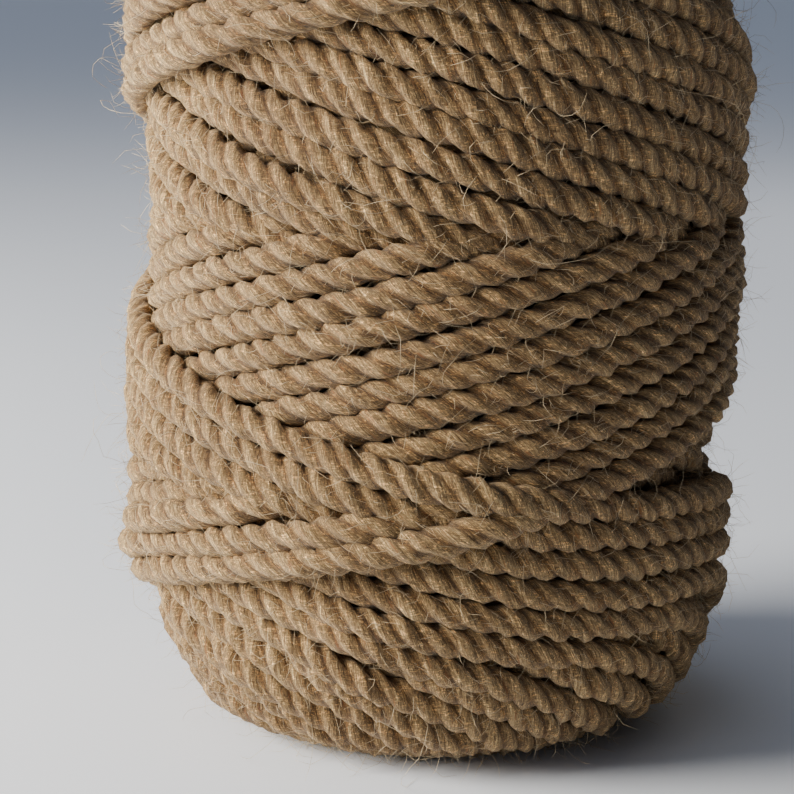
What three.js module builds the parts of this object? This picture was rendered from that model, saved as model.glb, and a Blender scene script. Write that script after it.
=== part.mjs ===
// A spool of three-ply jute twine, wound crosswise without a core, standing on one end.
// Millimetres, +Z up. The origin is the middle of the face it stands on, and the front is -Y.
import * as THREE from "three";

// Driving dimensions of the wound form
const HEIGHT = 192; // over both end faces
const MEAN_RADIUS = 55; // of the outer wall, half way between its highest and lowest turns
const SHOULDER_WIDTH = 26; // how far each round end reaches in from the wall
const SHOULDER_HEIGHT = 28; // how far each round end reaches along the wall
const HOLE_RADIUS = 17; // left by the mandrel that it was wound on
const LIP_RADIUS = 5; // rounds the hole's edge at both ends

// Driving dimensions of the winding
const TURN_THICKNESS = 4.1; // one layer of 5 mm twine, pressed into the layer under it
const LEAD = 90; // rise of the twine in one turn round the spool
const CROSSING_ANGLE = 18; // degrees from the front, towards +X, where the last turns cross
const CROSSING_HEIGHT = 49.5; // of that crossing
const STEP_SHARE = 0.07; // share of the lead over which a band's edge steps down

// Fineness of the faceted surface
const SECTORS = 72;
const WALL_RINGS = 36;
const SHOULDER_RINGS = 7;
const LIP_RINGS = 3;
const HOLE_RINGS = 4;

const JUTE = new THREE.MeshStandardMaterial({
  name: "jute",
  color: 0xb1916a,
  roughness: 0.95,
  metalness: 0,
});

// A quarter of an ellipse as profile points, from one angle to another, without its last point.
function quarter(centreRadius, centreHeight, width, height, from, to, rings) {
  const points = [];
  for (let ring = 0; ring < rings; ring++) {
    const angle = from + ((to - from) * ring) / rings;
    points.push(
      new THREE.Vector2(
        centreRadius + width * Math.cos(angle),
        centreHeight + height * Math.sin(angle),
      ),
    );
  }
  return points;
}

// A straight stretch of the profile, without its last point.
function stretch(radius, fromHeight, toHeight, rings) {
  const points = [];
  for (let ring = 0; ring < rings; ring++) {
    const height = fromHeight + ((toHeight - fromHeight) * ring) / rings;
    points.push(new THREE.Vector2(radius, height));
  }
  return points;
}

// The closed half section: up the outer wall, over the top end, down the hole and under the base.
function profile() {
  const right = Math.PI / 2;
  const innerEdge = MEAN_RADIUS - SHOULDER_WIDTH;
  const lipCentre = HOLE_RADIUS + LIP_RADIUS;
  const top = HEIGHT - SHOULDER_HEIGHT;
  const points = [
    ...quarter(innerEdge, SHOULDER_HEIGHT, SHOULDER_WIDTH, SHOULDER_HEIGHT, -right, 0, SHOULDER_RINGS),
    ...stretch(MEAN_RADIUS, SHOULDER_HEIGHT, top, WALL_RINGS),
    ...quarter(innerEdge, top, SHOULDER_WIDTH, SHOULDER_HEIGHT, 0, right, SHOULDER_RINGS),
    new THREE.Vector2(innerEdge, HEIGHT),
    ...quarter(lipCentre, HEIGHT - LIP_RADIUS, LIP_RADIUS, LIP_RADIUS, right, 2 * right, LIP_RINGS),
    ...stretch(HOLE_RADIUS, HEIGHT - LIP_RADIUS, LIP_RADIUS, HOLE_RINGS),
    ...quarter(lipCentre, LIP_RADIUS, LIP_RADIUS, LIP_RADIUS, 2 * right, 3 * right, LIP_RINGS),
    new THREE.Vector2(lipCentre, 0),
  ];
  points.push(points[0].clone());
  return points;
}

// The age of the turn that lies at a distance behind the newest one, as a share of a full layer.
// It grows evenly from 0 to 1, and falls back to 0 over a short step at the newest turn's edge.
function layerAge(distance) {
  const age = THREE.MathUtils.euclideanModulo(distance / LEAD, 1);
  if (age >= STEP_SHARE) return age;
  const blend = THREE.MathUtils.smoothstep(age, 0, STEP_SHARE);
  return THREE.MathUtils.lerp(1, STEP_SHARE, blend);
}

// How much higher than the mean wall the turns lie at an angle and a height.
function relief(angle, height) {
  const climbed = ((THREE.MathUtils.radToDeg(angle) - CROSSING_ANGLE) / 360) * LEAD;
  const falling = layerAge(CROSSING_HEIGHT - climbed - height);
  const rising = layerAge(height - CROSSING_HEIGHT - climbed);
  const fromEnd = Math.min(height, HEIGHT - height);
  const fade = THREE.MathUtils.smoothstep(fromEnd, 0, SHOULDER_HEIGHT);
  return TURN_THICKNESS * (1 - falling - rising) * fade;
}

// The wound form: the half section turned about Z, with the bands of newer turns standing proud.
function woundForm() {
  const form = new THREE.LatheGeometry(profile(), SECTORS);
  form.rotateX(Math.PI / 2);
  const place = form.getAttribute("position");
  const innerEdge = MEAN_RADIUS - SHOULDER_WIDTH;
  for (let index = 0; index < place.count; index++) {
    const radius = Math.hypot(place.getX(index), place.getY(index));
    if (radius <= innerEdge) continue;
    const angle = Math.atan2(place.getX(index), -place.getY(index));
    const grown = 1 + relief(angle, place.getZ(index)) / radius;
    place.setXY(index, place.getX(index) * grown, place.getY(index) * grown);
  }
  form.computeVertexNormals();
  return form;
}

const spool = new THREE.Group();
const twine = new THREE.Mesh(woundForm(), JUTE);
twine.name = "wound_twine";
spool.add(twine);

export default spool;
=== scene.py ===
# A cross-wound spool of three-ply jute twine, laid turn by turn over its own earlier turns.
# The winding is worked out on the unrolled surface of the spool, then bent round the axis as curves.
# A climb is a distance up that surface, which goes on round the shoulders and over the flat ends.
# A level is a height above the newest turns, and an age counts the turns back from the last one.
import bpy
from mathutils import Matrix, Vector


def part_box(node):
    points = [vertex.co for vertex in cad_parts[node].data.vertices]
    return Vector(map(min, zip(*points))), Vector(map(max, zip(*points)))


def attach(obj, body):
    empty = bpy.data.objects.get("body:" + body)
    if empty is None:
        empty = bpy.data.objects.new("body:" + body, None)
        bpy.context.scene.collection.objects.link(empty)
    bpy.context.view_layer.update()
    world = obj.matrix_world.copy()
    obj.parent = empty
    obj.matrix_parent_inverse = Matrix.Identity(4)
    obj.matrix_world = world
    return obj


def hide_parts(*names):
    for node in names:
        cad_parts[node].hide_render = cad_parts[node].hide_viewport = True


bl_info = {
    "name": "Jute twine spool",
    "version": (1, 0, 0),
    "blender": (4, 5, 0),
    "location": "3D View > Sidebar > Spool",
    "description": "Winds a spool of jute twine with its plies, fibres and loose hairs",
    "category": "Add Mesh",
}

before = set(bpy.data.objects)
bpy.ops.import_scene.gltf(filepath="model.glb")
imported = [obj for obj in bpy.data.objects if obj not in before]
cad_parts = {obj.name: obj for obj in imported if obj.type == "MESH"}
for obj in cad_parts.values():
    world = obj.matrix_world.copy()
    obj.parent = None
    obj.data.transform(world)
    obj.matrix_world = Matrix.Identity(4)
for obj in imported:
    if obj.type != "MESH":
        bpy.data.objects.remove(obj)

import math
from dataclasses import dataclass
from functools import lru_cache, partial

import bmesh
import bpy
import numpy as np
from bpy.props import FloatProperty, FloatVectorProperty, IntProperty, PointerProperty
from mathutils import Matrix

NODE = "wound_twine"
BODY = "root"
MM = 0.001
FULL_TURN = 2 * math.pi

# The middle line of the newest turns lies a little inside the wound form's widest place.
LOW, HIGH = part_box(NODE)
HEIGHT = HIGH.z - LOW.z
NEWEST_INSET = 1.3 * MM
WALL_RADIUS = (HIGH.y - LOW.y) / 2 - NEWEST_INSET

# How many times the twine goes round between the two ends, and how many turns older than those of
# a full lead are laid under them.
TRIP_TURNS = 2
OLDER_TURNS = 1

# Where the last falling and rising turns leave an even winding: degrees from the front, rise in mm.
FALLING_DRIFT = (
    (-15, 0.0),
    (0, 0.4),
    (20, 1.8),
    (40, 4.7),
    (60, 8.2),
    (85, 11.0),
    (110, 10.5),
    (140, 6.5),
    (170, 2.5),
    (200, 0.0),
)
RISING_DRIFT = (
    (-170, 0.0),
    (-100, 1.6),
    (-60, 2.0),
    (-30, 1.5),
    (-10, 0.5),
    (5, 0.0),
)

# Both drifts fade out over the last two turns before these ages, and the even age is past them.
DRIFT_FADE = 2
FALLING_AGE = 8.5
RISING_AGE = 3.5
EVEN_AGE = 12

# The falling drift also fades over this rise down to this climb, and over this angle past the
# lower turning point.
DRIFT_LOW = 2 * MM
DRIFT_RISE = 15 * MM
DRIFT_TURNED = math.radians(60)

# Depth that the twine laid earlier leaves for the turns to fill: height up the unrolled wall in mm,
# and depth in layers of twine. The wall's own depth takes over above the last row.
END_DEPTH = (
    (-30, 1.0),
    (-24, 1.6),
    (-20, 2.6),
    (-12, 3.1),
    (-4, 3.5),
    (14, 3.3),
    (26, 3.2),
)

# The ends are fuller on one side, by this many layers, and at this angle from the front.
FULLER_SIDE = 0.45
FULLER_ANGLE = math.radians(65)

# The earlier layers that close the round ends: the climb at which each turns back, in mm, how far
# it rises from there, how many strands it lies further round than the last, and its radius as a
# share of the wall's.
END_LAYERS = (-22.5, -16.5)
END_RISE = 8.5 * MM
LAYER_SHIFT = 0.37
END_RADIUS = 0.8

# The turns slip round the shoulders before they turn back. The slip starts at the first distance
# from an end, has its full size at the second, and goes on to the last share. It grows by a power.
SLIP_START = 24 * MM
SLIP_END = 5 * MM
SLIP = 18 * MM
SLIP_POWER = 1.6
SLIP_MOST = 1.2

# The turns between them show up to this climb, and are tucked in there by this many layers.
FILL_HEIGHT = 20 * MM
FILL_TUCK = 1.3

# The last end of the twine dives under the turns beside it: over this length, by this many layers.
DIVE = 30 * MM
DIVE_LAYERS = 1.6
DIVE_POWER = 1.5

# Blurs along a strand, in samples: of its straying, of what carries it, and of its level.
STRAY_BLUR = 18
SUPPORT_BLUR = 6
LEVEL_BLUR = 2.5

# How deep under other turns the twine still shows, and how deep it still grows hairs.
SHOWN_DEPTH = 0.5 * MM
OPEN_DEPTH = 0.1 * MM

# Samples by which each end of a stretch that shows is made longer, the shortest stretch that is
# kept, and the fewest points that it gets.
SHOWN_REACH = 5
SHORTEST = 6
FEWEST = 3

# The turns that line the hole: their number, the height at which they start, how far from there
# they flare over the lip, how gently, and how much more closely they are sampled.
HOLE_STRANDS = 14
HOLE_START = 4.5 * MM
HOLE_FLARE = 5 * MM
FLARE_EASE = 8 * MM
HOLE_SAMPLING = 1.25

# The unevenness of the twine: the blur of its noise in points, what brings the blurred noise back
# to a spread of one, the most that counts for the thickness, and its part in thickness and twist.
UNEVEN_BLUR = 6
UNEVEN_SCALE = 4.6
UNEVEN_MOST = 2
UNEVEN_THICKNESS = 0.035
UNEVEN_TWIST = 0.25

# How sharply the grooves cut in, and how much of the plies' twist their fibres follow. Each length
# of twine takes its fibres from another place in this range.
GROOVE_POWER = 3.2
FIBRE_TWIST = 0.45
FIBRE_RANGE = 500

# Size and depth of the lumps, and the gaps that the twine and the hairs keep over the floor.
LUMP_SIZE = 3.0 * MM
LUMP_DEPTH = 1.3 * MM
TWINE_GAP = 0.05 * MM
HAIR_GAP = 0.1 * MM

# The core: its depth under the newest turns, how many widths of twine line its hole, and how fine
# it is. Vertices closer than the last distance are one.
CORE_DEPTH = 8.5 * MM
CORE_LINING = 0.8
CORE_RINGS = 70
CORE_SECTORS = 48
SAME_PLACE = 0.01 * MM

# Facets are longer on the ends and in the hole, by these shares, and a longer line than this many
# points is cut.
END_STEP = 1.15
HOLE_STEP = 1.7
LONGEST_LINE = 2000


# Sizes and colours that a user would change


def setting(kind, name, default, description, **units):
    """A size or colour that a user can change."""
    return kind(name=name, default=default, description=description, **units)


a_length = partial(setting, FloatProperty, unit="LENGTH")
an_angle = partial(setting, FloatProperty, unit="ROTATION")
a_share = partial(setting, FloatProperty, subtype="FACTOR")
a_number = partial(setting, FloatProperty)
a_count = partial(setting, IntProperty)
a_colour = partial(setting, FloatVectorProperty, subtype="COLOR")


class WindingSettings(bpy.types.PropertyGroup):
    """Sizes of the winding."""

    twine_width: a_length("Twine width", 5.0 * MM, "Width of the twisted twine over its plies")
    fullness: a_share(
        "Fullness", 1.17, "How much the soft plies swell past the twine's nominal width"
    )
    layer_depth: a_length(
        "Layer depth",
        4.1 * MM,
        "How much one layer of turns adds, as the twine beds into the layer under it",
    )
    lead: a_length("Lead", 90 * MM, "Rise of the twine in one turn round the spool")
    strands: a_count("Strands in a lead", 17, "Turns that lie side by side in one lead")
    crossing_angle: an_angle(
        "Crossing angle",
        math.radians(18),
        "Where the last turns cross, from the front towards the right",
    )
    crossing_height: a_length(
        "Crossing height", 49.5 * MM, "Height of that crossing above the base"
    )
    shoulder: a_length(
        "Shoulder radius", 30 * MM, "Roundness of the ends, to the middle of the twine"
    )
    hole_radius: a_length("Hole radius", 17 * MM, "Radius of the hole left by the mandrel")
    turning_width: an_angle(
        "Turning width",
        math.radians(26),
        "How far round the spool the twine takes to turn back at an end, each way",
    )
    play: a_length("Sideways play", 0.32 * MM, "How far the turns stray sideways")
    spacing: a_length(
        "Sample spacing", 1.0 * MM, "Distance between the points at which the twine is laid"
    )
    seed: a_count("Seed", 3, "Seed of the straying turns")


class TwineSettings(bpy.types.PropertyGroup):
    """Shape and colours of the twine."""

    lay: a_length("Lay", 14.6 * MM, "Length in which a ply goes once round the twine")
    plies: a_count("Plies", 3, "Number of plies")
    groove: a_share(
        "Groove", 0.30, "Depth of the grooves between plies, as a share of the twine's radius"
    )
    ply_points: a_count("Points in a ply", 4, "Corners of the section of each ply")
    step: a_length("Step", 1.4 * MM, "Length of one facet along the twine")
    shade: a_colour("Shade", (0.085, 0.042, 0.014), "Colour of the fibres deep in the twine")
    straw: a_colour("Straw", (0.36, 0.232, 0.104), "Main colour of the fibres")
    pale: a_colour("Pale", (0.70, 0.53, 0.275), "Colour of the palest fibres")
    rust: a_colour("Rust", (0.30, 0.115, 0.035), "Colour of the few bark flecks")


class HairSettings(bpy.types.PropertyGroup):
    """Loose hairs that stand out of the twine."""

    short_count: a_count(
        "Short hairs", 9000, "Number of short hairs in each of the two sets, and of fine hairs"
    )
    short_length: a_length("Short length", 4.2 * MM, "Middle length of the short hairs")
    long_count: a_count("Long hairs", 520, "Number of long hairs")
    long_length: a_length("Long length", 13 * MM, "Middle length of the long hairs")
    thickness: a_length("Thickness", 0.034 * MM, "Radius of a hair")
    colour: a_colour("Colour", (0.70, 0.55, 0.34), "Colour of the hairs")


class StageSettings(bpy.types.PropertyGroup):
    """Floor, light and camera."""

    distance: a_length("Distance", 400 * MM, "From the spool's axis to the camera")
    eye_height: a_length("Eye height", 137.75 * MM, "Height of the camera above the floor")
    lens: a_number("Lens", 98.9, "Focal length in millimetres")
    look_down: an_angle("Look down", math.radians(11.2), "How far the camera tips down")
    look_left: an_angle(
        "Look left",
        math.radians(0.93),
        "How far the camera turns left, so that the spool stands right of the middle",
    )
    roll: an_angle("Roll", math.radians(0.97), "How far the camera leans to its left")
    floor_colour: a_colour("Floor colour", (0.86, 0.90, 0.97), "Colour of the floor")


# The unrolled surface


@dataclass
class Strand:
    """A length of laid twine: its middle line, outward directions, and what shows and is open."""

    points: np.ndarray
    outward: np.ndarray
    shown: np.ndarray
    open: np.ndarray


def smoothed(values, spread):
    """Values along a strand, blurred over a spread of samples."""
    reach = int(4 * spread) + 1
    kernel = np.exp(-0.5 * (np.arange(-reach, reach + 1) / spread) ** 2)
    padded = np.pad(values, reach, mode="edge")
    return np.convolve(padded, kernel / kernel.sum(), mode="valid")


def surface(climb, sizes):
    """Radius, height and outward direction of the newest turns' middle line.

    The climb runs up the unrolled wall, and goes on round the shoulder and over the flat end.
    """
    rest = sizes.twine_width / 2
    span = HEIGHT - 2 * rest
    upper = climb > span / 2
    low = np.where(upper, span - climb, climb)
    bend = np.clip((sizes.shoulder - low) / sizes.shoulder, 0, math.pi / 2)
    flat = np.maximum(sizes.shoulder - low - sizes.shoulder * math.pi / 2, 0)
    radius = WALL_RADIUS - sizes.shoulder * (1 - np.cos(bend)) - flat
    height = np.where(low > sizes.shoulder, low, sizes.shoulder * (1 - np.sin(bend)))
    sideways = np.cos(bend)
    upwards = -np.sin(bend)
    height = np.where(upper, span - height, height) + rest
    upwards = np.where(upper, -upwards, upwards)
    return radius, height, sideways, upwards


def placed(angle, climb, level, sizes):
    """Points and outward directions of a strand that lies at a level above the newest turns."""
    radius, height, sideways, upwards = surface(climb, sizes)
    sine, cosine = np.sin(angle), -np.cos(angle)
    outward = np.stack([sideways * sine, sideways * cosine, upwards], 1)
    middle = np.stack([radius * sine, radius * cosine, height], 1)
    return middle + outward * level[:, None], outward


def drift(table, degrees):
    """A drift table read at angles in degrees, in metres."""
    angles, rises = zip(*table)
    inside = (degrees > angles[0]) & (degrees < angles[-1])
    return np.where(inside, np.interp(degrees, angles, rises), 0) * MM


# Laying the twine


class Deck:
    """Top of the twine laid so far, in cells over the unrolled surface."""

    # Height of a cell, its width in samples of a strand, and how far the cells go past both ends.
    CELL = 0.5 * MM
    COLUMN = 1.25
    MARGIN = 30 * MM
    # Half the width over which a strand raises the deck, the cells on each side of its middle that
    # carry it, and how much less a cell at its edge carries, in layers.
    HALF_WIDTH = 2.6 * MM
    CARRYING = 3
    SAG = 0.25
    # A strand that lies less than this many layers under the form is pressed in by this share.
    PROUD_DEPTH = 0.9
    PRESSED = 0.85
    # The most that a strand stands over the hollows that it bridges, the smallest radius that it
    # is taken to bend round, and its least bend, in radians a metre.
    BRIDGE = 2.0 * MM
    LEAST_RADIUS = 5 * MM
    LEAST_BEND = 2.0
    # Cells on each side of its middle in which a strand is looked for.
    SEEN = 5

    def __init__(self, sizes):
        self.sizes = sizes
        self.columns = int(FULL_TURN * WALL_RADIUS / (self.COLUMN * sizes.spacing))
        span = HEIGHT - sizes.twine_width
        self.rows = int((span + 2 * self.MARGIN) / self.CELL) + 1
        climb = self.CELL * np.arange(self.rows)[:, None] - self.MARGIN
        angle = FULL_TURN * np.arange(self.columns)[None, :] / self.columns
        self.top = -sizes.layer_depth * self.depth(angle, climb, span)

    def depth(self, angle, climb, span):
        """Layers of twine that are still to be laid over each cell."""
        sizes = self.sizes
        crossing = sizes.crossing_height - sizes.twine_width / 2
        climbed = (angle - sizes.crossing_angle) / FULL_TURN * sizes.lead
        pitch = sizes.lead / sizes.strands
        oldest = sizes.strands + OLDER_TURNS + 0.5
        below = np.mod((crossing - climbed - climb) / pitch - oldest, sizes.strands)
        above = np.mod((climb - crossing - climbed) / pitch - oldest, sizes.strands)
        wall = (2 * oldest + below + above) / sizes.strands
        heights, layers = zip(*END_DEPTH)
        low = np.minimum(climb, span - climb)
        ends = np.interp(low, np.array(heights) * MM, layers)
        ends = ends - FULLER_SIDE * np.cos(angle - FULLER_ANGLE)
        share = np.clip((low - heights[-2] * MM) / ((heights[-1] - heights[-2]) * MM), 0, 1)
        return ends * (1 - share) + wall * share

    def cells(self, angle, climb):
        """Row and column of each sample of a strand."""
        row = np.round((climb + self.MARGIN) / self.CELL).astype(int)
        column = np.round(angle / FULL_TURN * self.columns).astype(int)
        return np.clip(row, 0, self.rows - 1), np.mod(column, self.columns)

    def tops(self, row, column):
        """Level of the deck in these cells."""
        return self.top[np.clip(row, 0, self.rows - 1), column]

    def lay(self, angle, climb, rng, tuck=0.0):
        """Lays a strand on the deck under tension. Returns its angle, climb and level.

        Where it is tucked in under the turns beside it, it lies that much deeper.
        """
        sizes = self.sizes
        stray = smoothed(rng.normal(size=len(climb)), STRAY_BLUR)
        climb = climb + stray * sizes.play / stray.std()
        middle, _ = placed(angle, climb, np.zeros(len(climb)), sizes)
        steps = np.r_[0, np.linalg.norm(np.diff(middle, axis=0), axis=1)]
        along = np.cumsum(steps)
        row, column = self.cells(angle, climb)
        support = np.full(len(climb), -np.inf)
        for aside in range(-self.CARRYING, self.CARRYING + 1):
            sag = self.SAG * sizes.layer_depth * (aside * self.CELL / (sizes.twine_width / 2)) ** 2
            support = np.maximum(support, self.tops(row + aside, column) - sag)
        level = self.pulled_tight(along, steps, support, climb)
        proud = np.maximum(level + self.PROUD_DEPTH * sizes.layer_depth, 0)
        level = level - self.PRESSED * proud - tuck
        self.press(row, column, level)
        return angle, climb, level

    def pulled_tight(self, along, steps, support, climb):
        """Level of a taut strand: it bridges hollows only as far as the spool's roundness lets it."""
        radius, _, sideways, _ = surface(climb, self.sizes)
        bend = np.maximum(sideways / np.maximum(radius, self.LEAST_RADIUS), self.LEAST_BEND)
        fall = np.cumsum(np.cumsum(bend * steps) * steps)
        wanted = support - fall
        hull = [0]
        for index in range(1, len(wanted)):
            while len(hull) > 1:
                last, before = hull[-1], hull[-2]
                rise_last = (wanted[last] - wanted[before]) * (along[index] - along[before])
                rise_new = (wanted[index] - wanted[before]) * (along[last] - along[before])
                if rise_last > rise_new:
                    break
                hull.pop()
            hull.append(index)
        taut = np.interp(along, along[hull], wanted[hull]) + fall
        highest = smoothed(support, SUPPORT_BLUR) + self.BRIDGE
        return smoothed(np.minimum(taut, highest), LEVEL_BLUR)

    def press(self, row, column, level):
        """Raises the deck to the top of a strand at this level."""
        reach = int(self.HALF_WIDTH / self.CELL)
        for aside in range(-reach, reach + 1):
            share = aside * self.CELL / self.HALF_WIDTH
            top = level + self.sizes.layer_depth * math.sqrt(1 - share**2)
            target = (np.clip(row + aside, 0, self.rows - 1), column)
            np.maximum.at(self.top, target, top)

    def uncovered(self, angle, climb, level, depth):
        """Which samples lie no deeper than a depth under the deck, anywhere across the strand."""
        row, column = self.cells(angle, climb)
        own = level + self.sizes.layer_depth
        seen = np.zeros(len(level), bool)
        for aside in range(-self.SEEN, self.SEEN + 1):
            sag = self.sizes.layer_depth * (1 - math.sqrt(1 - (aside / (self.SEEN + 0.5)) ** 2))
            seen |= own - sag > self.tops(row + aside, column) - depth
        return seen


def rounded(off, sizes):
    """Angles from a turning point, rounded off where the twine turns back."""
    curve = sizes.turning_width / 2 + off**2 / (2 * sizes.turning_width)
    return np.where(off < sizes.turning_width, curve, off)


def climb_of(turned, turning_point, sizes):
    """Climb of a turn at an angle from its lower turning point."""
    return turning_point + rounded(np.abs(turned), sizes) * (sizes.lead / FULL_TURN)


def slipped(climb, sizes):
    """Climb of the turns that have slipped round the shoulders."""
    span = HEIGHT - sizes.twine_width
    low = np.minimum(climb, span - climb)
    share = np.clip((SLIP_START - low) / (SLIP_START - SLIP_END), 0, SLIP_MOST)
    slip = SLIP * share**SLIP_POWER
    return np.where(climb < span / 2, climb - slip, climb + slip)


def full_turns(age, sizes):
    """Angle and climb of one trip of the twine from the upper end down and up again.

    Each trip starts one strand further round than the one before it.
    """
    rise = sizes.lead / FULL_TURN
    low = sizes.crossing_height - sizes.twine_width / 2 - sizes.lead / 2
    swing = FULL_TURN * TRIP_TURNS + math.pi / sizes.strands
    high = low + swing * rise
    count = int(2 * swing * WALL_RADIUS / sizes.spacing)
    turned = np.linspace(-swing, swing, count)
    climb = climb_of(turned, low, sizes)
    left = swing - np.abs(turned)
    climb = np.where(left < sizes.turning_width, high - rounded(left, sizes) * rise, climb)
    start = sizes.crossing_angle + math.pi - age * FULL_TURN / sizes.strands
    angle = start + turned
    degrees = np.degrees(angle)
    falling = turned < 0
    newness = np.clip((FALLING_AGE - age) / DRIFT_FADE, 0, 1)
    above = np.clip((climb - DRIFT_LOW) / DRIFT_RISE, 0, 1)
    fall_drift = drift(FALLING_DRIFT, degrees) * newness * above
    turn_drift = drift(FALLING_DRIFT, np.degrees(start)) * newness * above.min()
    fading = turn_drift * np.exp(-((turned / DRIFT_TURNED) ** 2))
    newness = np.clip((RISING_AGE - age) / DRIFT_FADE, 0, 1)
    rise_drift = drift(RISING_DRIFT, degrees - 360) * newness
    return angle, slipped(climb + np.where(falling, fall_drift, fading + rise_drift), sizes)


def end_turn(index, turning_point, upper, sizes):
    """Angle and climb of the part of an earlier turn that shows at a round end."""
    swing = END_RISE / (sizes.lead / FULL_TURN)
    count = int(2 * swing * WALL_RADIUS * END_RADIUS / sizes.spacing)
    turned = np.linspace(-swing, swing, count)
    climb = climb_of(turned, turning_point, sizes)
    angle = sizes.crossing_angle + math.pi - index * FULL_TURN / sizes.strands + turned
    if upper:
        climb = HEIGHT - sizes.twine_width - climb
        angle = angle + math.pi / sizes.strands
    return angle, climb


def between_turns(age, upper, sizes):
    """Angle, climb and tuck of a turn that fills the gap which the slipped turns leave at an end."""
    angle, climb = full_turns(EVEN_AGE if upper else age, sizes)
    near = climb < FILL_HEIGHT
    angle, climb = angle[near], climb[near]
    last_third = np.clip(climb / FILL_HEIGHT * 3 - 2, 0, 1)
    tuck = sizes.layer_depth * FILL_TUCK * last_third
    if upper:
        angle = angle + (EVEN_AGE - age + 0.5) * FULL_TURN / sizes.strands
        climb = HEIGHT - sizes.twine_width - climb
    return angle, climb, tuck


def grown(mask, reach):
    """A mask along a strand, with each true stretch made longer at both ends."""
    return np.convolve(mask, np.ones(2 * reach + 1), mode="same") > 0.5


@lru_cache(maxsize=1)
def winding():
    """Every strand of the wall and of the two ends, laid in the order in which they were wound."""
    sizes = bpy.context.scene.spool_winding
    rng = np.random.default_rng(sizes.seed)
    deck = Deck(sizes)
    laid = {"lower": [], "upper": [], "wall": []}
    for layer, turning_point in enumerate(END_LAYERS):
        for index in range(sizes.strands):
            for end in ("lower", "upper"):
                turn = index + LAYER_SHIFT * layer
                path = end_turn(turn, turning_point * MM, end == "upper", sizes)
                laid[end].append(deck.lay(*path, rng))
    for age in range(sizes.strands + OLDER_TURNS, -1, -1):
        for end in ("lower", "upper"):
            angle, climb, tuck = between_turns(age + 0.5, end == "upper", sizes)
            laid[end].append(deck.lay(angle, climb, rng, tuck))
        laid["wall"].append(deck.lay(*full_turns(age, sizes), rng))
    joined = [np.concatenate([part[row][:-1] for part in laid["wall"]]) for row in range(3)]
    joined[0] = unwound(joined[0])
    joined[2] = smoothed(joined[2], LEVEL_BLUR)
    laid["wall"] = [tucked(*joined, sizes)]
    return {name: [finished(deck, *path, sizes) for path in paths] for name, paths in laid.items()}


def unwound(angle):
    """Angles of the joined trips without the whole turns that they skip between trips."""
    jumps = np.round(np.diff(angle, prepend=angle[0]) / FULL_TURN)
    return angle - np.cumsum(jumps) * FULL_TURN


def tucked(angle, climb, level, sizes):
    """The joined twine, with its last end tucked in under the turns beside it."""
    left = np.arange(len(level))[::-1] * sizes.spacing
    dive = np.clip(1 - left / DIVE, 0, 1)
    return angle, climb, level - DIVE_LAYERS * sizes.layer_depth * dive**DIVE_POWER


def finished(deck, angle, climb, level, sizes):
    """A laid strand as points in space, with what shows of it."""
    bedded = level + sizes.layer_depth
    inner = (climb < 0) | (climb > HEIGHT - sizes.twine_width)
    bedded = np.where(inner, np.minimum(bedded, 0), bedded)
    points, outward = placed(angle, climb, bedded, sizes)
    shown = grown(deck.uncovered(angle, climb, level, SHOWN_DEPTH), SHOWN_REACH)
    return Strand(points, outward, shown, deck.uncovered(angle, climb, level, OPEN_DEPTH))


def spaced(strand, step):
    """The stretches of a strand that show, at even steps, with the distance along the strand."""
    steps = np.linalg.norm(np.diff(strand.points, axis=0), axis=1)
    along = np.r_[0, np.cumsum(steps)]
    edges = np.flatnonzero(np.diff(np.r_[0, strand.shown.astype(int), 0]))
    stretches = []
    for first, last in zip(edges[::2], edges[1::2]):
        if last - first < SHORTEST:
            continue
        count = max(int((along[last - 1] - along[first]) / step), FEWEST)
        at = np.linspace(along[first], along[last - 1], count)
        points = np.stack([np.interp(at, along, strand.points[:, axis]) for axis in range(3)], 1)
        stretches.append((points, at))
    return stretches


def hole_strands(sizes):
    """The first turns, which line the hole."""
    radius = sizes.hole_radius + sizes.twine_width / 2
    low = HOLE_START
    high = HEIGHT - low
    swing = (high - low) / sizes.lead * FULL_TURN
    turned = np.linspace(0, swing, int(swing * radius * HOLE_SAMPLING / sizes.spacing))
    paths = []
    for index in range(HOLE_STRANDS):
        angle = turned + index * FULL_TURN / HOLE_STRANDS
        height = low + turned * sizes.lead / FULL_TURN
        lip = np.maximum(np.maximum(low + HOLE_FLARE - height, height - high + HOLE_FLARE), 0)
        out = radius + lip**2 / FLARE_EASE
        outward = np.stack([-np.sin(angle), np.cos(angle), 0 * angle], 1)
        points = np.stack([out * np.sin(angle), -out * np.cos(angle), height], 1)
        seen = np.ones(len(angle), bool)
        paths.append(Strand(points, outward, seen, seen))
    return paths


# Twine as a mesh


def added(name, data):
    """An object in the scene."""
    made = bpy.data.objects.new(name, data)
    bpy.context.scene.collection.objects.link(made)
    return made


def applied(holder):
    """The mesh that an object comes to, which takes the object's place."""
    graph = bpy.context.evaluated_depsgraph_get()
    mesh = bpy.data.meshes.new_from_object(holder.evaluated_get(graph))
    bpy.data.objects.remove(holder)
    return mesh


def mesh_of(name, work):
    """The mesh that a bmesh comes to."""
    mesh = bpy.data.meshes.new(name)
    work.to_mesh(mesh)
    work.free()
    return mesh


def ply_share(index, twine):
    """How deep in a groove between plies a corner of the section lies, from 0 to 1."""
    turned = index * math.pi / twine.ply_points
    return abs(math.cos(turned)) ** GROOVE_POWER


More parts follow.
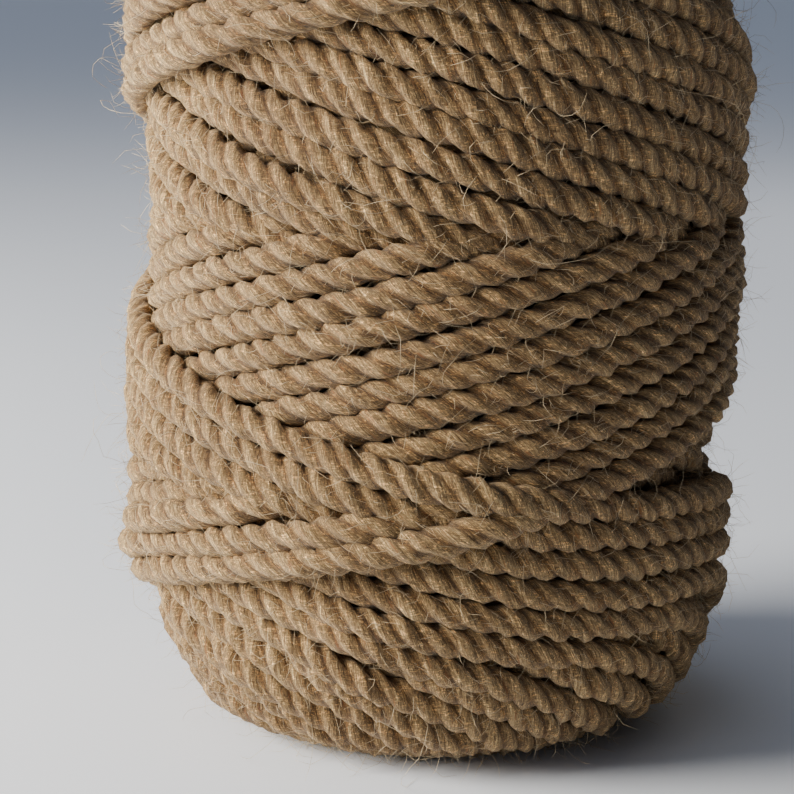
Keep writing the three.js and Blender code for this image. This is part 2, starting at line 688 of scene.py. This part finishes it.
def section(name, reaches):
    """A closed flat curve whose corners lie at these distances from its middle."""
    curve = bpy.data.curves.new(name, "CURVE")
    curve.dimensions = "2D"
    spline = curve.splines.new("POLY")
    spline.points.add(len(reaches) - 1)
    spline.use_cyclic_u = True
    for index, point in enumerate(spline.points):
        angle = -FULL_TURN * index / len(reaches)
        point.co = (reaches[index] * math.cos(angle), reaches[index] * math.sin(angle), 0, 1)
    return bpy.data.objects.new(name, curve)


def swept(name, lines, section_object):
    """A mesh of the section swept along lines of (points, tilt, radius)."""
    curve = bpy.data.curves.new(name, "CURVE")
    curve.dimensions = "3D"
    curve.twist_mode = "MINIMUM"
    curve.bevel_mode = "OBJECT"
    curve.bevel_object = section_object
    for points, tilt, radius in lines:
        spline = curve.splines.new("POLY")
        spline.points.add(len(points) - 1)
        corners = np.concatenate([points, np.ones((len(points), 1))], 1)
        spline.points.foreach_set("co", corners.astype(np.float32).ravel())
        spline.points.foreach_set("tilt", np.asarray(tilt, np.float32))
        spline.points.foreach_set("radius", np.asarray(radius, np.float32))
    mesh = applied(added(name + "_curve", curve))
    bpy.data.curves.remove(curve)
    mesh.name = name
    mesh.shade_smooth()
    return mesh


def closed(mesh):
    """Closes the open ends of swept lines."""
    work = bmesh.new()
    work.from_mesh(mesh)
    border = [edge for edge in work.edges if edge.is_boundary]
    bmesh.ops.holes_fill(work, edges=border, sides=0)
    work.to_mesh(mesh)
    work.free()


def store(mesh, name, kind, values):
    """A named attribute on the mesh's vertices."""
    layer = mesh.attributes.new(name, kind, "POINT")
    key = "vector" if kind == "FLOAT_VECTOR" else "value"
    layer.data.foreach_set(key, np.asarray(values, np.float32).ravel())


def lumpy(mesh):
    """Makes the swept twine a little uneven, as hand-fed fibres are."""
    texture = bpy.data.textures.new("lumps", "CLOUDS")
    texture.noise_scale = LUMP_SIZE
    texture.noise_depth = 1
    holder = added("lumps", mesh)
    lumps = holder.modifiers.new("lumps", "DISPLACE")
    lumps.texture = texture
    lumps.strength = LUMP_DEPTH
    lumps.mid_level = 0.5
    uneven = applied(holder)
    bpy.data.meshes.remove(mesh)
    return uneven


def pressed_flat(mesh):
    """Flattens what would reach under the floor, as the spool's weight does."""
    places = np.empty(len(mesh.vertices) * 3, np.float32)
    mesh.vertices.foreach_get("co", places)
    places[2::3] = np.maximum(places[2::3], TWINE_GAP)
    mesh.vertices.foreach_set("co", places)
    mesh.update()
    return mesh


def add_piece(name, mesh, material):
    """A finished piece that stands for the wound form."""
    mesh.materials.clear()
    mesh.materials.append(material)
    piece = added(name, mesh)
    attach(piece, BODY)
    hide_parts(NODE)
    return piece


def twisted(name, stretches, seed):
    """A piece of twine along stretches of (points, distance along the strand)."""
    sizes = bpy.context.scene.spool_winding
    twine = bpy.context.scene.spool_twine
    rng = np.random.default_rng(seed)
    lines = []
    fibre = []
    groove = []
    corners = twine.plies * twine.ply_points
    index = np.arange(corners)
    around = -FULL_TURN * index / corners
    share = np.array([ply_share(corner, twine) for corner in index])
    width = sizes.twine_width * sizes.fullness
    reach = width / 2 * (1 - twine.groove * share)
    for points, along in stretches:
        start = rng.uniform(0, FULL_TURN)
        uneven = smoothed(rng.normal(size=len(points)), UNEVEN_BLUR) * UNEVEN_SCALE
        thick = 1 + UNEVEN_THICKNESS * uneven.clip(-UNEVEN_MOST, UNEVEN_MOST)
        tilt = start + along / twine.lay * FULL_TURN + UNEVEN_TWIST * uneven
        lines.append((points, tilt, thick))
        turned = around[None, :] + tilt[:, None] * FIBRE_TWIST
        far = reach[None, :] * thick[:, None] / MM
        down = np.broadcast_to((along / MM)[:, None], turned.shape) + rng.uniform(0, FIBRE_RANGE)
        fibre.append(np.stack([far * np.cos(turned), far * np.sin(turned), down], 2))
        groove.append(np.broadcast_to(share[None, :], turned.shape))
    mesh = swept(name, lines, section("twine_section", reach))
    store(mesh, "fibre", "FLOAT_VECTOR", np.concatenate([part.reshape(-1, 3) for part in fibre]))
    store(mesh, "groove", "FLOAT", np.concatenate([part.ravel() for part in groove]))
    closed(mesh)
    return add_piece(name, pressed_flat(lumpy(mesh)), jute())


def shown_twine(name, strands, step, seed):
    """A piece of twine made of what shows of some strands."""
    stretches = [stretch for strand in strands for stretch in spaced(strand, step)]
    return twisted(name, stretches, seed)


# Finishes


# The places of a colour mix's two sides and of its result among the sockets of its other kinds.
MIX_A, MIX_B, MIX_RESULT = 6, 7, 2
NODE_SPACING = 200


def node(tree, kind, **values):
    """A shader node with its settings. The nodes stand in a row, in the order of their making."""
    made = tree.nodes.new(kind)
    made.location.x = NODE_SPACING * len(tree.nodes)
    for name, value in values.items():
        setattr(made, name, value)
    return made


def joined_node(tree, kind, sources, **values):
    """A shader node whose first inputs come from these sockets."""
    made = node(tree, kind, **values)
    for source, target in zip(sources, made.inputs):
        tree.links.new(source, target)
    return made


def ramp(tree, source, stops, interpolation="LINEAR"):
    """Colours looked up by a value, with stops of (value, colour)."""
    made = joined_node(tree, "ShaderNodeValToRGB", [source])
    made.color_ramp.interpolation = interpolation
    elements = made.color_ramp.elements
    while len(elements) < len(stops):
        elements.new(0.5)
    for element, (at, colour) in zip(elements, stops):
        element.position = at
        element.color = (*colour, 1)
    return made.outputs["Color"]


def noise(tree, source, scale, detail, roughness=0.5, bend=0.0):
    """A noise that follows a vector."""
    made = joined_node(tree, "ShaderNodeTexNoise", [source])
    made.inputs["Scale"].default_value = scale
    made.inputs["Detail"].default_value = detail
    made.inputs["Roughness"].default_value = roughness
    made.inputs["Distortion"].default_value = bend
    return made.outputs["Fac"]


def drawn_out(tree, source, scale, turn=(0, 0, 0)):
    """A vector that is turned and scaled, so that a noise on it is drawn out in one direction."""
    made = joined_node(tree, "ShaderNodeMapping", [source])
    made.inputs["Rotation"].default_value = turn
    made.inputs["Scale"].default_value = scale
    return made.outputs["Vector"]


def mixed(tree, blend, factor, first, second):
    """Two colours mixed. The factor and the second one may be sockets or plain values."""
    made = node(tree, "ShaderNodeMix", data_type="RGBA", blend_type=blend)
    tree.links.new(first, made.inputs[MIX_A])
    for value, target in ((factor, made.inputs[0]), (second, made.inputs[MIX_B])):
        if isinstance(value, bpy.types.NodeSocket):
            tree.links.new(value, target)
        else:
            target.default_value = value
    return made.outputs[MIX_RESULT]


def worked_out(tree, operation, *sources):
    """A number worked out from others."""
    return joined_node(tree, "ShaderNodeMath", sources, operation=operation).outputs["Value"]


def stray_fibres(tree, place):
    """Fine fibres that lie across each other in three directions.

    It is the mean of the highest and the lowest of three noises: over 0.58 where a pale fibre
    lies on top, and under 0.42 where painted shade darkens the gap between fibres.
    """
    layers = []
    for turn in ((0.3, 0.5, 0.2), (1.2, -0.6, 1.1), (-0.7, 0.9, 2.3)):
        lying = drawn_out(tree, place, (430, 2600, 2600), turn)
        layers.append(noise(tree, lying, 1.0, 1.0, bend=1.6))
    ends = []
    for choice in ("MAXIMUM", "MINIMUM"):
        first = worked_out(tree, choice, layers[0], layers[1])
        ends.append(worked_out(tree, choice, first, layers[2]))
    mean = node(tree, "ShaderNodeMath", operation="MULTIPLY")
    mean.inputs[1].default_value = 0.5
    tree.links.new(worked_out(tree, "ADD", *ends), mean.inputs[0])
    return mean.outputs["Value"]


def new_material(name):
    """A material with its node tree and its shader."""
    material = bpy.data.materials.new(name)
    material.use_nodes = True
    tree = material.node_tree
    return material, tree, tree.nodes["Principled BSDF"]


def darker(colour, share):
    """A colour at a share of its brightness."""
    return tuple(share * part for part in colour)


@lru_cache(maxsize=1)
def jute():
    """Straw-coloured fibres that run along the twine, with painted shade in the grooves, and flecked
    with bark.
    """
    twine = bpy.context.scene.spool_twine
    material, tree, shader = new_material("jute_twine")
    place = node(tree, "ShaderNodeTexCoord").outputs["Object"]
    fibre = node(tree, "ShaderNodeAttribute", attribute_name="fibre").outputs["Vector"]
    groove = node(tree, "ShaderNodeAttribute", attribute_name="groove").outputs["Fac"]

    # Fibres along the plies
    threads = drawn_out(tree, fibre, (3.2, 3.2, 0.55))
    fine = noise(tree, threads, 1.0, 3.0, 0.65, 1.5)
    duller = darker(twine.straw, 0.6)
    tones = ((0.33, twine.shade), (0.45, duller), (0.54, twine.straw), (0.66, twine.pale))
    colour = ramp(tree, fine, tones)

    # Uneven clumps
    clumps = drawn_out(tree, fibre, (0.9, 0.9, 0.16))
    broad = noise(tree, clumps, 1.0, 2.0)
    lumps = ramp(tree, broad, ((0.30, (0.62, 0.58, 0.54)), (0.70, (1.22, 1.22, 1.22))))
    colour = mixed(tree, "MULTIPLY", 1.0, colour, lumps)

    # Weathered patches
    patches = noise(tree, place, 32.0, 2.0)
    weathered = ((0.35, (0.84, 0.80, 0.76)), (0.65, (1.10, 1.10, 1.08)))
    weathering = ramp(tree, patches, weathered)
    colour = mixed(tree, "MULTIPLY", 1.0, colour, weathering)

    # Stray fibres, and painted shade in the gaps between them
    fuzz = stray_fibres(tree, place)
    fibre_and_gap_shade_stops = (
        (0.37, (0.50, 0.42, 0.34)),
        (0.44, (0.96, 0.95, 0.93)),
        (0.55, (1, 1, 1)),
        (0.61, (2.6, 2.45, 2.2)),
    )
    fibres_and_gap_shade = ramp(tree, fuzz, fibre_and_gap_shade_stops)
    colour = mixed(tree, "MULTIPLY", 1.0, colour, fibres_and_gap_shade)

    # Flecks of bark
    specks = drawn_out(tree, fibre, (1.3, 1.3, 0.45))
    bark = noise(tree, specks, 1.0, 1.0)
    flecks = ramp(tree, bark, ((0.66, (0, 0, 0)), (0.76, (0.75, 0.75, 0.75))))
    colour = mixed(tree, "MIX", flecks, colour, (*twine.rust, 1))

    # Painted shade in the grooves between plies
    deep = ramp(tree, groove, ((0.25, (1, 1, 1)), (1.0, (0.42, 0.32, 0.22))))
    colour = mixed(tree, "MULTIPLY", 1.0, colour, deep)
    tree.links.new(colour, shader.inputs["Base Color"])

    # Raised fibres
    rough = node(tree, "ShaderNodeMath", operation="MULTIPLY_ADD")
    rough.inputs[1].default_value = 0.7
    tree.links.new(fuzz, rough.inputs[0])
    tree.links.new(fine, rough.inputs[2])
    bump = node(tree, "ShaderNodeBump")
    bump.inputs["Strength"].default_value = 0.9
    bump.inputs["Distance"].default_value = 0.35 * MM
    tree.links.new(rough.outputs["Value"], bump.inputs["Height"])
    tree.links.new(bump.outputs["Normal"], shader.inputs["Normal"])

    shader.inputs["Roughness"].default_value = 0.82
    shader.inputs["Specular IOR Level"].default_value = 0.25
    shader.inputs["Sheen Weight"].default_value = 0.25
    shader.inputs["Sheen Roughness"].default_value = 0.45
    shader.inputs["Sheen Tint"].default_value = (0.95, 0.85, 0.70, 1)
    return material


def mottled(name, spots, stops, roughness):
    """A material and its shader, coloured in spots of (scale, detail, roughness)."""
    material, tree, shader = new_material(name)
    place = node(tree, "ShaderNodeTexCoord").outputs["Object"]
    tones = ramp(tree, noise(tree, place, *spots), stops)
    tree.links.new(tones, shader.inputs["Base Color"])
    shader.inputs["Roughness"].default_value = roughness
    return material, shader


@lru_cache(maxsize=1)
def hair_material():
    """Pale single fibres, each a little different."""
    colour = bpy.context.scene.spool_hair.colour
    stops = ((0.32, darker(colour, 0.45)), (0.62, colour))
    material, shader = mottled("jute_hair", (420.0, 1.0, 0.5), stops, 0.6)
    shader.inputs["Specular IOR Level"].default_value = 0.4
    return material


def core_shade_material():
    """Tangled fibres deep between the turns, coloured dark as painted shade."""
    twine = bpy.context.scene.spool_twine
    stops = ((0.40, twine.shade), (0.65, darker(twine.straw, 0.55)))
    return mottled("jute_core_painted_shade", (1400.0, 3.0, 0.7), stops, 1.0)[0]


# Core and turns


def core_section(sizes):
    """Radius and height of the closed half section of the tangled core under the turns."""
    inner = sizes.hole_radius + sizes.twine_width * CORE_LINING
    reach = sizes.shoulder * (math.pi / 2 - 1) + WALL_RADIUS - sizes.shoulder - inner
    climb = np.linspace(-reach, HEIGHT - sizes.twine_width + reach, CORE_RINGS)
    radius, height, sideways, upwards = surface(climb, sizes)
    return list(zip(radius - CORE_DEPTH * sideways, height - CORE_DEPTH * upwards))


class SPOOL_OT_core(bpy.types.Operator):
    """Add the core under the turns, dark with painted shade"""

    bl_idname = "spool.core"
    bl_label = "Add core"

    def execute(self, context):
        work = bmesh.new()
        corners = core_section(context.scene.spool_winding)
        ring = [work.verts.new((radius, 0, height)) for radius, height in corners]
        edges = [work.edges.new(pair) for pair in zip(ring, ring[1:] + ring[:1])]
        bmesh.ops.spin(
            work,
            geom=ring + edges,
            axis=(0, 0, 1),
            cent=(0, 0, 0),
            steps=CORE_SECTORS,
            angle=FULL_TURN,
            use_merge=True,
        )
        bmesh.ops.remove_doubles(work, verts=work.verts, dist=SAME_PLACE)
        bmesh.ops.recalc_face_normals(work, faces=work.faces)
        add_piece("core", mesh_of("core", work), core_shade_material())
        return {"FINISHED"}


class SPOOL_OT_wall(bpy.types.Operator):
    """Wind the turns of the wall"""

    bl_idname = "spool.wall"
    bl_label = "Wind wall"

    # The wall's twine is shared out, so that no piece is too large.
    PIECES = 3

    def execute(self, context):
        step = context.scene.spool_twine.step
        stretches = spaced(winding()["wall"][0], step)
        share = sum(len(points) for points, _ in stretches) / self.PIECES
        groups = [[] for _ in range(self.PIECES)]
        done = 0
        for points, along in stretches:
            for first in range(0, len(points) - 1, LONGEST_LINE):
                part = slice(max(first - 1, 0), first + LONGEST_LINE)
                group = min(int(done / share), self.PIECES - 1)
                groups[group].append((points[part], along[part]))
                done += len(points[part])
        for index, group in enumerate(groups):
            twisted(f"wall_turns_{index + 1}", group, seed=11)
        return {"FINISHED"}


class SPOOL_OT_ends(bpy.types.Operator):
    """Wind the earlier turns that close the two round ends"""

    bl_idname = "spool.ends"
    bl_label = "Wind ends"

    def execute(self, context):
        step = context.scene.spool_twine.step * END_STEP
        for end in ("lower", "upper"):
            shown_twine(f"{end}_end_turns", winding()[end], step, seed=21)
        return {"FINISHED"}


class SPOOL_OT_hole(bpy.types.Operator):
    """Wind the first turns, which line the hole"""

    bl_idname = "spool.hole"
    bl_label = "Wind hole"

    def execute(self, context):
        step = context.scene.spool_twine.step * HOLE_STEP
        shown_twine("hole_turns", hole_strands(context.scene.spool_winding), step, seed=31)
        return {"FINISHED"}


# Loose hairs

# Where a hair grows: its root's distance from the middle of the twine as a share of the twine's
# radius, and the spread and the most of its angle from the outward direction, in radians.
ROOT_SHARE = 0.93
ROOT_SPREAD = 0.75
ROOT_MOST = 1.4

# How it starts: the range of its part along the twine, the shape and scale of its part outwards,
# and the spread of its part sideways.
ALONG = (0.2, 1.0)
OUTWARDS = (1.6, 0.22)
SIDEWAYS = 0.55

# How it goes on: the curl in radians at each corner of a hair that has this many, the shake at each
# corner, the height over its root at which it bends back, and how sharply it does.
CURL = 0.55
CURL_CORNERS = 4
SHAKE = 0.16
MOST_RISE = 2.2 * MM
BEND_BACK = 0.35

# The spread and the range of a hair's length, as shares of its middle length, its sides, and its
# thickness at the root, at the last corner but one, and at the tip.
LENGTH_SPREAD = 0.42
LENGTH_RANGE = (0.3, 2.4)
HAIR_SIDES = 3
TAPER = (1, 0.9, 0.35)


def hair_roots(strands, count, rng, twine_radius):
    """Roots on the open parts of the strands, with outward and lengthwise directions."""
    points = np.concatenate([strand.points[1:][strand.open[1:]] for strand in strands])
    outward = np.concatenate([strand.outward[1:][strand.open[1:]] for strand in strands])
    along = np.concatenate([np.diff(strand.points, axis=0)[strand.open[1:]] for strand in strands])
    along /= np.maximum(np.linalg.norm(along, axis=1), 1e-9)[:, None]
    pick = rng.integers(0, len(points), count)
    side = np.cross(along[pick], outward[pick])
    round_to = rng.normal(0, ROOT_SPREAD, count).clip(-ROOT_MOST, ROOT_MOST)[:, None]
    direction = np.cos(round_to) * outward[pick] + np.sin(round_to) * side
    root = points[pick] + direction * (twine_radius * ROOT_SHARE)
    return root, direction, along[pick]


def hair_lines(root, outward, along, length, corners, rng):
    """Lines of hairs that start near the twine's surface and curl as they leave it."""
    count = len(root)
    side = np.cross(along, outward)
    sign = rng.choice((-1.0, 1.0), count)[:, None]
    heading = (
        sign * along * rng.uniform(*ALONG, (count, 1))
        + outward * rng.gamma(*OUTWARDS, (count, 1))
        + side * rng.normal(0, SIDEWAYS, (count, 1))
    )
    heading /= np.linalg.norm(heading, axis=1)[:, None]
    axis = rng.normal(size=(count, 3))
    axis /= np.linalg.norm(axis, axis=1)[:, None]
    turn = rng.normal(0, CURL, (count, 1)) * CURL_CORNERS / corners
    place = root.copy()
    lines = [place.copy()]
    for _ in range(corners - 1):
        heading = heading + np.cross(axis, heading) * turn
        heading = heading + rng.normal(0, SHAKE, (count, 3))
        rise = ((place - root) * outward).sum(1, keepdims=True)
        heading = heading - outward * (rise > MOST_RISE) * BEND_BACK
        heading /= np.linalg.norm(heading, axis=1)[:, None]
        place = place + heading * (length / (corners - 1))[:, None]
        lines.append(place.copy())
    return np.stack(lines, 1)


class SPOOL_OT_hairs(bpy.types.Operator):
    """Add the loose hairs"""

    bl_idname = "spool.hairs"
    bl_label = "Add hairs"

    def execute(self, context):
        hair = context.scene.spool_hair
        radius = context.scene.spool_winding.twine_width / 2
        strands = winding()["wall"] + winding()["lower"] + winding()["upper"]
        # Name, number, middle length, corners and seed.
        kinds = (
            ("short_hairs_1", hair.short_count, hair.short_length, 4, 41),
            ("short_hairs_2", hair.short_count, hair.short_length, 4, 43),
            ("fine_hairs", hair.short_count, hair.short_length / 2, 3, 44),
            ("long_hairs", hair.long_count, hair.long_length, 12, 42),
        )
        for name, count, length, corners, seed in kinds:
            rng = np.random.default_rng(seed)
            root, outward, along = hair_roots(strands, count, rng, radius)
            lengths = length * rng.lognormal(0, LENGTH_SPREAD, count).clip(*LENGTH_RANGE)
            lines = hair_lines(root, outward, along, lengths, corners, rng)
            lines[:, :, 2] = np.maximum(lines[:, :, 2], HAIR_GAP)
            taper = np.interp(np.arange(corners), (0, corners - 2, corners - 1), TAPER)
            swept_lines = [(line, np.zeros(corners), taper) for line in lines]
            outline = section("hair_section", (hair.thickness,) * HAIR_SIDES)
            mesh = swept(name, swept_lines, outline)
            closed(mesh)
            add_piece(name, mesh, hair_material())
        return {"FINISHED"}


# Floor, light and camera

FLOOR_SIZE = 12.0

# Name, place, radius, power and colour of each soft round light.
LIGHTS = (
    ("key", (-0.77, -0.20, 0.36), 0.26, 88.0, (1.0, 0.95, 0.86)),
    ("rear", (0.35, 0.80, 0.40), 0.25, 2.4, (1.0, 0.95, 0.88)),
)

# The surroundings go from pale on the left to dark on the right, with these places and colours.
SURROUNDINGS = ((0.25, (0.68, 0.77, 0.95)), (0.63, (0.02, 0.019, 0.018)))
SURROUNDING_STRENGTH = 0.7


def soft_ball(name, place, radius, power, colour):
    """A soft round light, as a lantern of white cloth gives."""
    data = bpy.data.lights.new(name, "POINT")
    data.shadow_soft_size = radius
    data.energy = power
    data.color = colour
    lamp = added(name, data)
    lamp.visible_camera = False
    lamp.location = place


class SPOOL_OT_stage(bpy.types.Operator):
    """Set up the floor, the light and the camera"""

    bl_idname = "spool.stage"
    bl_label = "Set stage"

    def execute(self, context):
        stage = context.scene.spool_stage
        self.add_floor(stage)
        for light in LIGHTS:
            soft_ball(*light)
        self.add_surroundings(context)
        self.add_camera(context, stage)
        return {"FINISHED"}

    def add_floor(self, stage):
        work = bmesh.new()
        bmesh.ops.create_grid(work, x_segments=1, y_segments=1, size=FLOOR_SIZE)
        mesh = mesh_of("floor", work)
        paint, _, shader = new_material("floor_paint")
        shader.inputs["Base Color"].default_value = (*stage.floor_colour, 1)
        shader.inputs["Roughness"].default_value = 0.7
        mesh.materials.append(paint)
        added("floor", mesh)

    def add_surroundings(self, context):
        world = bpy.data.worlds.new("studio")
        world.use_nodes = True
        tree = world.node_tree
        background = tree.nodes["Background"]
        place = node(tree, "ShaderNodeTexCoord").outputs["Generated"]
        across = joined_node(tree, "ShaderNodeSeparateXYZ", [place])
        share = joined_node(tree, "ShaderNodeMapRange", [across.outputs["X"]])
        share.inputs["From Min"].default_value = -1
        sky = ramp(tree, share.outputs["Result"], SURROUNDINGS, "EASE")
        tree.links.new(sky, background.inputs["Color"])
        background.inputs["Strength"].default_value = SURROUNDING_STRENGTH
        context.scene.world = world

    def add_camera(self, context, stage):
        data = bpy.data.cameras.new("camera")
        data.lens = stage.lens
        data.sensor_width = 36
        data.clip_start = 0.01
        data.clip_end = 50
        camera = added("camera", data)
        turn = Matrix.Rotation(stage.look_left, 4, "Z")
        tip = Matrix.Rotation(math.pi / 2 - stage.look_down, 4, "X")
        lean = Matrix.Rotation(stage.roll, 4, "Z")
        place = Matrix.Translation((0, -stage.distance, stage.eye_height))
        camera.matrix_world = place @ turn @ tip @ lean
        context.scene.camera = camera


# Panel and steps


class SPOOL_PT_panel(bpy.types.Panel):
    """Lists the steps that make the spool"""

    bl_idname = "SPOOL_PT_panel"
    bl_label = "Jute twine spool"
    bl_space_type = "VIEW_3D"
    bl_region_type = "UI"
    bl_category = "Spool"

    def draw(self, context):
        for step in OPERATORS:
            self.layout.operator(step.bl_idname)


SETTINGS = {
    "spool_winding": WindingSettings,
    "spool_twine": TwineSettings,
    "spool_hair": HairSettings,
    "spool_stage": StageSettings,
}
OPERATORS = (
    SPOOL_OT_stage,
    SPOOL_OT_core,
    SPOOL_OT_wall,
    SPOOL_OT_ends,
    SPOOL_OT_hole,
    SPOOL_OT_hairs,
)


def register():
    for name, group in SETTINGS.items():
        bpy.utils.register_class(group)
        setattr(bpy.types.Scene, name, PointerProperty(type=group))
    for made in OPERATORS:
        bpy.utils.register_class(made)
    bpy.utils.register_class(SPOOL_PT_panel)


def unregister():
    bpy.utils.unregister_class(SPOOL_PT_panel)
    for made in reversed(OPERATORS):
        bpy.utils.unregister_class(made)
    for name, group in SETTINGS.items():
        delattr(bpy.types.Scene, name)
        bpy.utils.unregister_class(group)


def main():
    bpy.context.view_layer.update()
    register()
    bpy.ops.spool.stage()
    bpy.ops.spool.core()
    bpy.ops.spool.wall()
    bpy.ops.spool.ends()
    bpy.ops.spool.hole()
    bpy.ops.spool.hairs()


if __name__ == "__main__":
    main()
